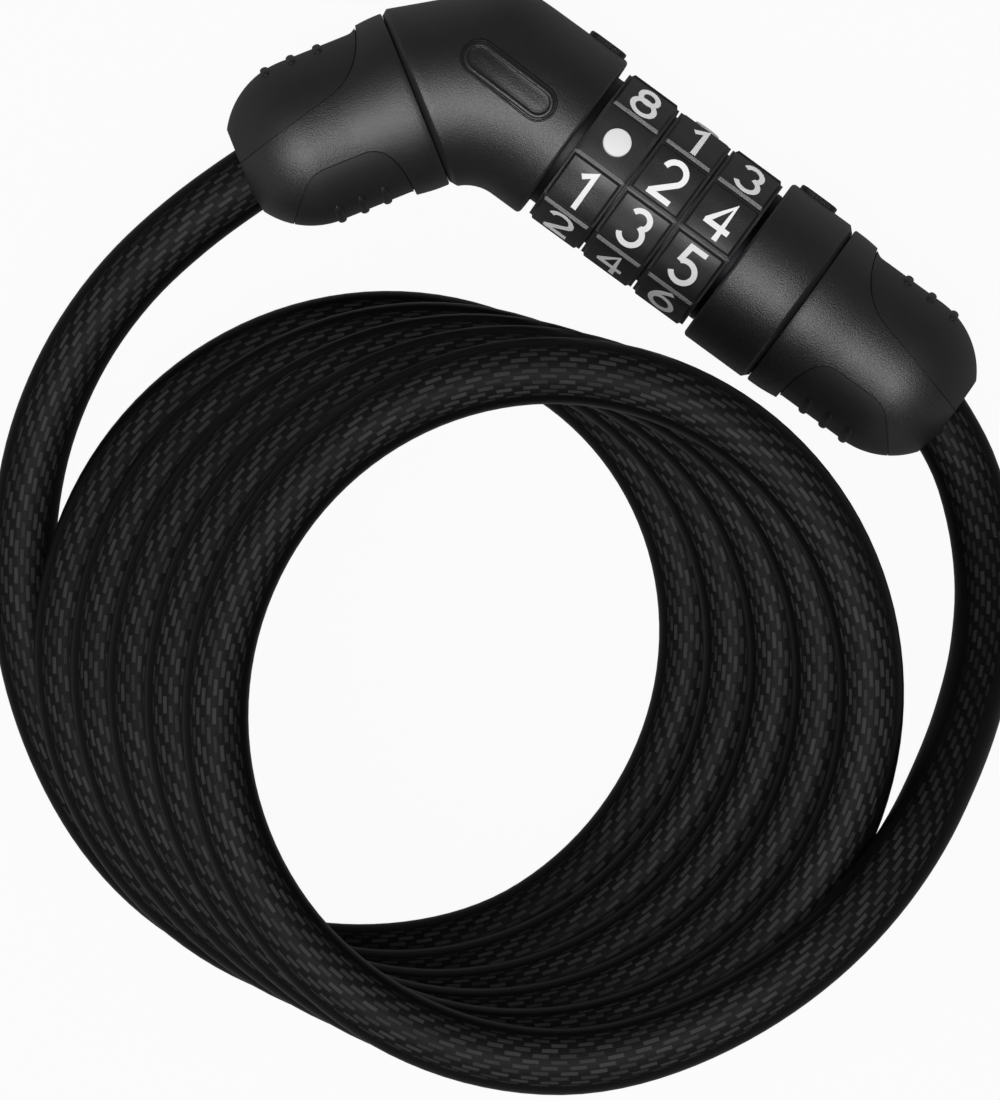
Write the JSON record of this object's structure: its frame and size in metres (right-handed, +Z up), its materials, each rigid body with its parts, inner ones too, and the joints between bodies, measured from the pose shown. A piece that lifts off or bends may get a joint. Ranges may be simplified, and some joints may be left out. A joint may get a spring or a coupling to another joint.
{
  "type": "combination cable lock",
  "caption": "Bicycle cable lock with a number-ring dial between an elbow head and a pull-out plug head, and a coiled black cable joining the two heads.",
  "frame": {"origin": "on the flat under the elbow head, below the dial's axis, 3 mm inside the face that meets the dial", "axes": "+X along the dial's axis from the elbow head to the plug head, the way the plug pulls out; +Y away from the coil; +Z up from the surface that the lock lies on"},
  "size_m": [0.1561, 0.1512, 0.0662],
  "materials": {
    "housing_black": "satin black moulded plastic with a fine spark-eroded grain",
    "boot_black": "satin black plastic, fine grain",
    "grip_black": "soft matt black grip panel",
    "ring_black": "satin black ring with light grey numbers and pad edges",
    "dot_white": "off-white moulded dot",
    "collar_black": "black collar",
    "steel": "machined steel",
    "zinc": "zinc plated steel",
    "brass": "turned brass",
    "ferrule_metal": "crimped aluminium",
    "rope_steel": "twisted steel wire",
    "cable_jacket": "clear glossy jacket over a black braid"
  },
  "bodies": {
    "elbow_head": {"elbow_housing": "housing_black", "left_boot": "boot_black", "left_outer_grip": "grip_black", "left_inner_grip": "grip_black", "left_ferrule": "ferrule_metal", "left_rope_end": "rope_steel", "left_anchor_screw": "zinc", "core_tube": "steel", "core_pin": "zinc", "dial_spacer": "collar_black", "ring_retainer": "steel", "core_circlip": "zinc", "detent_ball_1": "steel", "detent_ball_2": "steel", "detent_ball_3": "steel", "detent_spring_1": "zinc", "detent_spring_2": "zinc", "detent_spring_3": "zinc", "cable_left_tail": "cable_jacket", "cable_coil": "cable_jacket"},
    "ring_1": {"number_ring_1": "ring_black", "number_dot_1": "dot_white", "code_sleeve_1": "brass"},
    "ring_2": {"number_ring_2": "ring_black", "number_dot_2": "dot_white", "code_sleeve_2": "brass"},
    "ring_3": {"number_ring_3": "ring_black", "number_dot_3": "dot_white", "code_sleeve_3": "brass"},
    "plug_head": {"right_housing": "housing_black", "bolt": "steel", "bolt_pin": "zinc", "right_boot": "boot_black", "right_outer_grip": "grip_black", "right_inner_grip": "grip_black", "right_ferrule": "ferrule_metal", "right_rope_end": "rope_steel", "right_anchor_screw": "zinc", "cable_right_tail": "cable_jacket"}
  },
  "joints": [
    {"name": "ring_1_turn", "type": "hinge", "parent": "elbow_head", "child": "ring_1", "pos_m": [0, 0, 0.0138], "axis": [1, 0, 0], "continuous": true},
    {"name": "ring_2_turn", "type": "hinge", "parent": "elbow_head", "child": "ring_2", "pos_m": [0, 0, 0.0138], "axis": [1, 0, 0], "continuous": true},
    {"name": "ring_3_turn", "type": "hinge", "parent": "elbow_head", "child": "ring_3", "pos_m": [0, 0, 0.0138], "axis": [1, 0, 0], "continuous": true},
    {"name": "plug_slide", "type": "slide", "parent": "elbow_head", "child": "plug_head", "axis": [1, 0, 0], "range_m": [0, 0.0365], "deforming": ["cable_right_tail"]}
  ]
}
